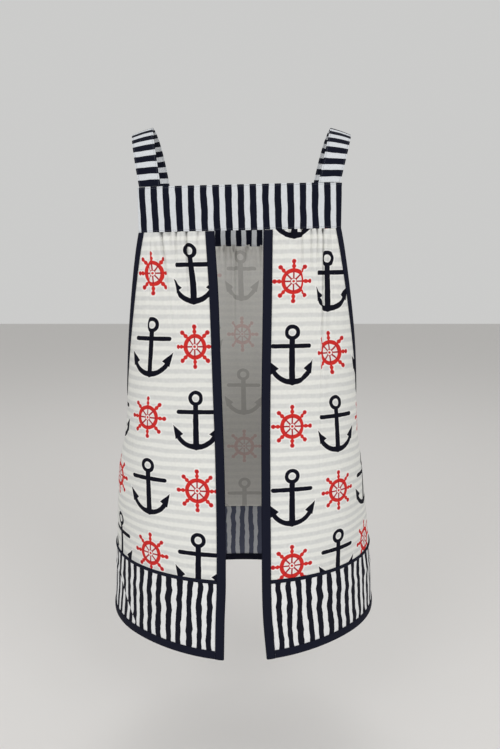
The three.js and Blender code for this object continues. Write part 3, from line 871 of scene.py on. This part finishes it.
# The folds' relief with the cloth's unevenness, flat under the tapes and the band's seam
def panelRelief(relief, place, z, below, gap, kind):
    relief += ripple(place, z, kind) * smoothStep(below / panel["rippleReach"])
    relief += puckers(place, below, puckerSeeds[kind])
    edgeShare = smoothStep((gap - seams["tapeWidth"]) / cloth["edgeFade"])
    return relief * (edgeShare * smoothStep((z - panel["bandTop"]) / panel["footFade"]))


leftGathers = tableOf(
    "at lean hide width depth reach",
    (0.0575, 0.0, 0.002, 0.0050, 0.0014, 0.040),
    (0.0733, -0.02, 0.004, 0.0055, 0.0030, 0.075),
    (0.0878, 0.0, 0.006, 0.0050, 0.0020, 0.050),
    (0.1080, -0.09, 0.013, 0.0060, 0.0030, 0.090),
    (0.1240, 0.06, 0.007, 0.0050, 0.0016, 0.070),
    (0.1345, 0.10, 0.003, 0.0040, 0.0012, 0.050),
)
rightGathers = tableOf(
    "at lean hide width depth reach",
    (0.0620, 0.0, 0.001, 0.0050, 0.0008, 0.030),
    (0.0854, 0.0, 0.005, 0.0050, 0.0021, 0.065),
    (0.0979, 0.01, 0.006, 0.0045, 0.0020, 0.055),
    (0.1065, 0.01, 0.005, 0.0045, 0.0020, 0.060),
    (0.1148, -0.005, 0.010, 0.0045, 0.0030, 0.190),
    (0.1260, 0.06, 0.004, 0.0040, 0.0018, 0.060),
    (0.1350, 0.10, 0.003, 0.0040, 0.0012, 0.050),
)
backGathers = {"left": leftGathers, "right": rightGathers}
# The middle of one motif on each panel. The gathers push the print aside at the yoke and pinch its
# second column inwards, and it drifts lower down.
printPlaces = {
    "left": {"column": 0.0665, "row": 0.2000, "parity": 1},
    "right": {"column": 0.0712, "row": 0.2115, "parity": 0},
    "front": {"row": 0.2060, "parity": 1},
}
printShifts = {
    "left": {"push": 0.0076, "pushReach": 0.085, "drift": -0.0040, "pinch": 0},
    "right": {"push": 0.0045, "pushReach": 0.19, "drift": -0.0020, "pinch": 0.0060},
}
driftFrom, driftReach = 0.25, 0.22
pinchAt, pinchWide, pinchFrom, pinchReach = 0.0642, 0.0145, 0.14, 0.12
# How far each row of the print sinks
rowSags = tableOf(
    "down left right",
    (0.140, -0.0030, 0),
    (0.205, -0.0030, 0),
    (0.305, 0, 0),
    (0.410, 0.0045, 0.0033),
    (0.508, 0.0040, 0.0025),
    (0.602, 0, -0.0047),
    (0.640, 0, -0.0047),
)


# The place across the flat cloth, where laid is the cloth from the motif's middle, folds counted
def flatAcross(side, laid, below):
    shift = printShifts[side]
    push = shift["push"] * (1 - smoothStep(below / shift["pushReach"]))
    push += shift["drift"] * smoothStep((below - driftFrom) / driftReach)
    flatX = signOf[side] * (laid - push) / printLook["stretch"]
    pull = math.exp(-(((flatX - pinchAt) / pinchWide) ** 2))
    pull *= 1 - smoothStep((below - pinchFrom) / pinchReach)
    return flatX + shift["pinch"] * pull + printPlaces[side]["parity"] * printLook["column"]


def backPanelGrid(side):
    sign = signOf[side]
    gathers, hideReach = backGathers[side], panel["hideReach"][side]
    motif = printPlaces[side]
    top = backFoot + seams["tuck"]
    zeroFall = fallLength(-motif["row"])
    zeroHidden = foldsAt(gathers, motif["column"], driftFrom, hideReach)[0]

    def spotAt(across, down):
        zOpen = rowHeight(top, down)
        endAround, endZ = panelEnd(side, "back", down)
        openAround = openingEdge(zOpen, side)
        share = across if side == "right" else 1 - across
        around = openAround + (endAround - openAround) * share
        z = zOpen + (endZ - zOpen) * smoothStep(share)
        below = max(backFoot - z, 0.0)
        hidden, relief = foldsAt(gathers, around, below, hideReach)
        gap = min(around - openAround, math.hypot(endAround - around, (endZ - z) * 0.5))
        relief = panelRelief(relief, around * sign, z, below, gap, "backPanel")
        flatX = flatAcross(side, around - motif["column"] + hidden - zeroHidden, below)
        flatY = zeroFall - fallLength(z) + tableAt(rowSags, side, -z)
        return bodyPoint(sign * around, z), (flatX, flatY), relief

    return clothGrid(*panel["backSteps"], spotAt)


for side in ("left", "right"):
    name = f"back_panel_{side}"
    clothPiece(name, backPanelGrid(side), [printCloth, printInside], cloth["wall"])
print("back panels made")


# Places on the front, walked from its own middle: right is positive
def frontAround(fromMiddle, z):
    side = "left" if fromMiddle < 0 else "right"
    around = frontMiddle(z, side) - abs(fromMiddle)
    return -around if side == "left" else around


frontRow = {"first": -0.112, "pitch": 0.0203, "count": 12, "splay": 0.10}


# One of the front's gathers, each a little unlike the next
def frontGather(i):
    place = frontRow["first"] + frontRow["pitch"] * i
    return (
        place + 0.003 * math.sin(2.1 * i),
        frontRow["splay"] * place / -frontRow["first"],
        0.006 + 0.002 * math.sin(1.7 * i),
        0.0055 + 0.001 * math.sin(3.3 * i),
        0.0021 + 0.0006 * math.sin(4.1 * i),
        0.065 + 0.03 * math.sin(2.7 * i),
    )


frontGathers = tableOf("at lean hide width depth reach", *map(frontGather, range(frontRow["count"])))


def frontPanelGrid():
    motif = printPlaces["front"]
    top = frontFoot + seams["tuck"]
    hideReach = panel["hideReach"]["front"]
    taken = sum(gather["hide"] for gather in frontGathers)

    def endOf(side, down):
        around, z = panelEnd(side, "front", down)
        away = frontMiddle(z, side) - around
        return (away if side == "right" else -away), z

    def spotAt(across, down):
        zMiddle = rowHeight(top, down)
        (right, rightZ), (left, leftZ) = endOf("right", down), endOf("left", down)
        place = right + (left - right) * across
        share = abs(across * 2 - 1)
        z = zMiddle + ((rightZ if across < 0.5 else leftZ) - zMiddle) * smoothStep(share)
        below = max(frontFoot - z, 0.0)
        hidden, relief = foldsAt(frontGathers, place, below, hideReach)
        relief = panelRelief(relief, place, z, below, min(right - place, place - left), "frontPanel")
        middle = taken * (1 - smoothStep(below / hideReach)) / 2
        flatX = (middle - place - hidden) / printLook["stretch"] + motif["parity"] * printLook["column"]
        return bodyPoint(frontAround(place, z), z), (flatX, z + motif["row"]), relief

    return clothGrid(*panel["frontSteps"], spotAt)


clothPiece("front_panel", frontPanelGrid(), [printCloth, printInside], cloth["wall"])
print("front panel made")


# Cloth sewn double, with a rounded edge
def doublePiece(node, bm, material):
    return clothPiece(node, bm, [material], cloth["doubleWall"], cloth["roundEdge"])


def yokeGrid(face):
    top = yoke["backTop"] if face == "back" else yoke["frontTop"]

    def spotAt(across, down):
        z = top - yoke["height"] * down
        if face == "back":
            left, right = -yokeEnd(z, "left", "back"), yokeEnd(z, "right", "back")
            around = left + (right - left) * across
            flatX = around + yoke["backPhase"] - yoke["lean"] * (top - z)
            flatX += ripple(around, z, "yokeStripe")
        else:
            right = frontMiddle(z, "right") - yokeEnd(z, "right", "front")
            left = yokeEnd(z, "left", "front") - frontMiddle(z, "left")
            place = right + (left - right) * across
            around = frontAround(place, z)
            flatX = -place
        edge = smoothStep(min(across, 1 - across) / yoke["endFade"])
        seam = math.exp(-(((1 - down) * yoke["height"] / yoke["seamReach"]) ** 2))
        relief = ripple(around, z, "yoke") + seam * ripple(around, z, "yokeSeam")
        return bodyPoint(around, z), (flatX, -down * yoke["height"]), relief * edge

    return clothGrid(*yoke["steps"], spotAt)


for face in ("back", "front"):
    doublePiece(f"{face}_yoke", yokeGrid(face), yokeCloth)
print("yokes made")


# Hem bands under the panels
band = {
    "foot": -0.7356,
    "gap": 0.0003,
    "firstWhite": {"left": 0.0127, "right": 0.0140},
    "backSteps": (70, 44),
    "frontSteps": (190, 44),
    "buckleAt": -0.657,
    "buckleWidth": 0.006,
    "buckle": 0.0009,
    "edgeFade": 0.012,
}


def bandHeight(down):
    top = panel["bandTop"] - band["gap"]
    return top + (band["foot"] - top) * down


def bandRelief(place, z, kind, gap):
    line = band["buckleAt"] + ripple(place, 0, kind + "Buckle")
    buckle = math.exp(-(((z - line) / band["buckleWidth"]) ** 2))
    relief = band["buckle"] * buckle + ripple(place, z, kind + "Band")
    inside = min(gap - seams["tapeWidth"], panel["bandTop"] - z, z - band["foot"] - seams["tapeWidth"])
    return relief * smoothStep(inside / band["edgeFade"])


# Stripes counted by the way walked past the first white one: they lie wider on the curve
bandStripes = tableOf(
    "down count",
    (-0.0441, -3),
    (0, 0),
    (0.0295, 2),
    (0.0615, 4),
    (0.0963, 6),
    (0.1297, 8),
    (0.1605, 10),
    (0.2577, 16),
)


def backBandGrid(side):
    sign = signOf[side]

    def spotAt(across, down):
        z = bandHeight(down)
        start, end = openingEdge(z, side), sideSeam(z, side) - band["gap"]
        share = across if side == "right" else 1 - across
        around = start + (end - start) * share
        count = tableAt(bandStripes, "count", around - start - band["firstWhite"][side])
        flatX = (count + 0.75) * bandPeriod
        gap = min(around - start, end - around + seams["tapeWidth"])
        relief = bandRelief(around * sign, z, "back", gap)
        return bodyPoint(sign * around, z), (flatX, z), relief

    return clothGrid(*band["backSteps"], spotAt)


def frontBandGrid():
    def spotAt(across, down):
        z = bandHeight(down)
        right = frontMiddle(z, "right") - sideSeam(z, "right") - band["gap"]
        left = sideSeam(z, "left") - frontMiddle(z, "left") + band["gap"]
        place = right + (left - right) * across
        relief = bandRelief(place, z, "front", min(right - place, place - left) + seams["tapeWidth"])
        return bodyPoint(frontAround(place, z), z), (-place, z), relief

    return clothGrid(*band["frontSteps"], spotAt)


bandGrids = {
    "hem_band_back_left": backBandGrid("left"),
    "hem_band_back_right": backBandGrid("right"),
    "hem_band_front": frontBandGrid(),
}
for node, grid in bandGrids.items():
    clothPiece(node, grid, [bandCloth, bandInside], cloth["wall"])
print("bands made")


# Bindings: tape folded over an edge
tape = {
    "width": seams["tapeWidth"],
    "armholeWidth": 0.007,
    "fold": 0.0016,
    "hem": 0.0012,
    "puff": 0.00035,
    "wall": 0.0007,
    "roundEdge": 0.0002,
    "steps": 18,
    "wallShare": 0.42,
    "gap": 0.0001,
    "backStations": 150,
    "armholeStations": 60,
    "hemStations": 130,
    "slantStations": 4,
}


def tapeGrid(stations, width):
    frames = []
    walked = 0.0
    for around, z, inward in stations:
        edge = bodyPoint(around, z)
        hemAround, hemZ = insetPlace(around, z, inward, width)
        near = bodyPoint(*insetPlace(around, z, inward, probe))
        if frames:
            walked += (edge - frames[-1]["edge"]).length
        frames.append(
            {
                "edge": edge,
                "hem": bodyPoint(hemAround, hemZ),
                "out": (edge - near).normalized(),
                "edgeNormal": bodyNormal(around, z),
                "hemNormal": bodyNormal(hemAround, hemZ),
                "walked": walked,
            }
        )

    def spotAt(across, down):
        at = frames[round(down * (len(frames) - 1))]
        wall = tape["wallShare"]
        if wall < across < 1 - wall:
            turn = math.pi * (across - wall) / (1 - 2 * wall)
            height, out = math.cos(turn) * tape["fold"], math.sin(turn) * tape["fold"]
            point = at["edge"] + at["edgeNormal"] * height + at["out"] * out
        else:
            side = 1 if across <= wall else -1
            share = (across if side > 0 else 1 - across) / wall
            lift = tape["hem"] + (tape["fold"] - tape["hem"]) * share
            lift += tape["puff"] * math.sin(math.pi * share)
            normal = at["hemNormal"].lerp(at["edgeNormal"], share).normalized()
            point = at["hem"].lerp(at["edge"], share) + normal * lift * side
        return point, ((across - 0.5) * 2 * (width + tape["fold"]), at["walked"]), 0.0

    return clothGrid(tape["steps"], len(frames) - 1, spotAt)


def tapePiece(node, stations, width=tape["width"]):
    grid = tapeGrid(stations, width)
    return clothPiece(node, grid, [navyTape], tape["wall"], tape["roundEdge"])


def spread(start, end, steps):
    return [start + (end - start) * i / steps for i in range(steps + 1)]


for side, sign in signOf.items():
    heights = spread(backFoot - band["gap"], -body["hemDrop"], tape["backStations"])
    tapePiece(f"back_binding_{side}", [(sign * openingEdge(z, side), z, Vector((sign, 0))) for z in heights])
    stations = [armholeAt(side, "back", t) for t in spread(0, 1, tape["armholeStations"])]
    stations += [armholeAt(side, "front", t) for t in spread(1, 0, tape["armholeStations"])][1:]
    tapePiece(
        f"armhole_binding_{side}",
        [(sign * around, z, Vector((sign * inward.x, inward.y))) for around, z, inward in stations],
        tape["armholeWidth"],
    )


# Once round the skirt at one height, from the left side of the opening to its right side
def skirtPlaces(z, steps):
    left, right = [openingEdge(z, side) + tape["width"] + tape["gap"] for side in ("left", "right")]
    leftWay, rightWay = frontMiddle(z, "left") - left, frontMiddle(z, "right") - right
    places = [-(left + leftWay * k / steps) for k in range(steps + 1)]
    return places + [right + rightWay * k / steps for k in range(steps - 1, -1, -1)]


# The hem's tape ends along the slant of the opening's tapes
def hemStations():
    width, foot = tape["width"], band["foot"]
    places = skirtPlaces(foot, tape["hemStations"])
    stations = []
    for i, around in enumerate(places):
        side = "left" if around < 0 else "right"
        slope = (openingEdge(foot + width, side) - openingEdge(foot, side)) / width
        share = max(0, 1 - min(i, len(places) - 1 - i) / tape["slantStations"])
        stations.append((around, foot, Vector((signOf[side] * slope * share, 1))))
    return stations


tapePiece("hem_binding", hemStations())
print("bindings made")


# Piping over the seam above the bands
piping = {"width": 0.0052, "rise": 0.0016, "stand": 0.0008, "wall": 0.0005, "steps": 8, "stations": 160}


def pipingGrid():
    places = skirtPlaces(panel["bandTop"], piping["stations"])

    def spotAt(across, down):
        around = places[round(down * (len(places) - 1))]
        z = panel["bandTop"] + (across - 0.5) * piping["width"]
        lift = piping["stand"] + piping["rise"] * math.sin(math.pi * across) ** 0.6
        point = bodyPoint(around, z) + bodyNormal(around, z) * lift
        return point, (across * piping["width"], down), 0.0

    return clothGrid(piping["steps"], len(places) - 1, spotAt)


clothPiece("seam_piping", pipingGrid(), [navyTape], piping["wall"], tape["roundEdge"])
print("piping made")


# Straps
strap = {
    "width": 0.031,
    "halfSpan": 0.141,
    "margin": 0.003,
    "slope": math.radians(19),
    "bow": 0.8,
    "crown": 0.0006,
    "gap": 0.0003,
    "steps": (14, 110),
    "phase": {"left": 0.0, "right": 0.009},
}


def strapGrid(side):
    sign = signOf[side]
    fromEnd = strap["margin"] + strap["width"] / 2
    backTop, frontTop = yoke["backTop"] + strap["gap"], yoke["frontTop"] + strap["gap"]
    backPlace = sign * (yokeEnd(backTop, side, "back") - fromEnd)
    frontPlace = sign * (yokeEnd(frontTop, side, "front") + fromEnd)

    def acrossAt(around, z):
        return (bodyPoint(around + probe, z) - bodyPoint(around - probe, z)).normalized()

    feet = {
        -1: (bodyPoint(backPlace, backTop), acrossAt(backPlace, backTop)),
        1: (bodyPoint(frontPlace, frontTop), -acrossAt(frontPlace, frontTop)),
    }
    crestX = sign * strap["halfSpan"] + body["askewShift"] * tableAt(hangShares, "shift", 0)
    crest = Vector((crestX, 0, -cloth["doubleWall"] / 2))
    crestAcross = Vector((math.cos(strap["slope"]), 0, -sign * math.sin(strap["slope"])))

    def middleAt(t):
        foot = feet[-1 if t < 0 else 1][0]
        turn = abs(t) * math.pi / 2
        lift = 1 - math.cos(turn)
        return Vector(
            (
                crest.x + (foot.x - crest.x) * lift ** strap["bow"],
                crest.y + (foot.y - crest.y) * math.sin(turn),
                crest.z + (foot.z - crest.z) * lift,
            )
        )

    steps = strap["steps"][1]
    middles = [middleAt(t) for t in spread(-1, 1, steps)]
    walked = [0.0]
    for before, after in zip(middles, middles[1:]):
        walked.append(walked[-1] + (after - before).length)

    def spotAt(across, down):
        k = round(down * steps)
        t = -1 + 2 * k / steps
        footAcross = feet[-1 if t < 0 else 1][1]
        direction = crestAcross.lerp(footAcross, smoothStep(abs(t))).normalized()
        offset = (across - 0.5) * strap["width"]
        along = (middles[min(k + 1, steps)] - middles[max(k - 1, 0)]).normalized()
        normal = direction.cross(along).normalized()
        crown = strap["crown"] * (1 - (2 * across - 1) ** 2)
        flat = (walked[k] + strap["phase"][side], offset)
        return middles[k] + direction * offset + normal * crown, flat, 0.0

    return clothGrid(*strap["steps"], spotAt)


for side in ("left", "right"):
    doublePiece(f"strap_{side}", strapGrid(side), strapCloth)
print("straps made")

# The size that each piece was cut to, with its flat area where the cut isn't a rectangle
flatSizes = tableOf(
    "piece width length area held rests",
    ("backYoke", 0.282, 0.061, None, "stretched", "strap_left strap_right"),
    ("frontYoke", 0.286, 0.061, None, "stretched", "strap_left strap_right"),
    ("strapLeft", 0.031, 0.254, None, "draped", "back_yoke front_yoke"),
    ("strapRight", 0.031, 0.251, None, "draped", "back_yoke front_yoke"),
    ("backPanelLeft", 0.246, 0.490, 0.094, "gathered", "back_yoke"),
    ("backPanelRight", 0.263, 0.490, 0.096, "gathered", "back_yoke"),
    ("frontPanel", 0.545, 0.467, 0.216, "gathered", "front_yoke"),
    ("hemBandBackLeft", 0.236, 0.1123, 0.0199, "hung", "back_panel_left"),
    ("hemBandBackRight", 0.265, 0.1123, 0.0280, "hung", "back_panel_right"),
    ("hemBandFront", 0.668, 0.1123, 0.0643, "hung", "front_panel"),
    ("backBindingLeft", 0.0268, 0.604, None, "folded", "back_panel_left hem_band_back_left"),
    ("backBindingRight", 0.0268, 0.605, None, "folded", "back_panel_right hem_band_back_right"),
    ("armholeBindingLeft", 0.019, 0.518, None, "folded", "back_panel_left front_panel"),
    ("armholeBindingRight", 0.019, 0.523, None, "folded", "back_panel_right front_panel"),
    ("hemBinding", 0.0268, 1.049, None, "folded", "hem_band_back_left hem_band_front hem_band_back_right"),
)
print("cloth declared")

# Floor, light and camera
room = {
    "floorAt": -0.95,
    "floorSize": 14.0,
    "floorColour": (0.70, 0.685, 0.67, 1),
    "skyColour": (0.80, 0.80, 0.79, 1),
    "skyStrength": 0.75,
}
floorMesh = bmesh.new()
bmesh.ops.create_grid(floorMesh, x_segments=1, y_segments=1, size=room["floorSize"] / 2)
bmesh.ops.translate(floorMesh, verts=floorMesh.verts, vec=(0, 0, room["floorAt"]))
floorData = bpy.data.meshes.new("floor")
floorMesh.to_mesh(floorData)
floorMesh.free()
floor = bpy.data.objects.new("floor", floorData)
scene.collection.objects.link(floor)
floorLook = bpy.data.materials.new("paleFloor")
floorLook.use_nodes = True
surface = floorLook.node_tree.nodes["Principled BSDF"].inputs
surface["Base Color"].default_value = room["floorColour"]
surface["Roughness"].default_value = 0.9
floorData.materials.append(floorLook)

world = bpy.data.worlds.new("studio")
world.use_nodes = True
sky = world.node_tree.nodes["Background"].inputs
sky["Color"].default_value = room["skyColour"]
sky["Strength"].default_value = room["skyStrength"]
scene.world = world

lamps = tableOf(
    "name place aim size power",
    ("keyLamp", (1.3, -2.0, 0.8), (0, 0, -0.42), 1.3, 25.5),
    ("fillLamp", (-1.5, -1.9, 0.7), (0, 0, -0.42), 1.4, 21.5),
    ("topLamp", (0, 1.4, 2.0), (0, 0, -0.3), 1.6, 14),
)
for lamp in lamps:
    light = bpy.data.lights.new(lamp["name"], "AREA")
    light.shape = "SQUARE"
    light.size = lamp["size"]
    light.energy = lamp["power"]
    holder = bpy.data.objects.new(lamp["name"], light)
    holder.location = lamp["place"]
    aim = Vector(lamp["aim"]) - Vector(lamp["place"])
    holder.rotation_euler = aim.to_track_quat("-Z", "Y").to_euler()
    scene.collection.objects.link(holder)

view = {
    "place": (0.010, -0.980, -0.1816),
    "pitch": math.radians(9.96),
    "focalShare": 650 / 749,
    "sensor": 36,
}
cameraData = bpy.data.cameras.new("camera")
cameraData.sensor_width = view["sensor"]
cameraData.sensor_fit = "AUTO"
cameraData.lens = view["sensor"] * view["focalShare"]
camera = bpy.data.objects.new("camera", cameraData)
camera.location = view["place"]
camera.rotation_euler = (math.pi / 2 - view["pitch"], 0, 0)
scene.collection.objects.link(camera)
scene.camera = camera
scene.view_settings.view_transform = "Standard"
print("room made")
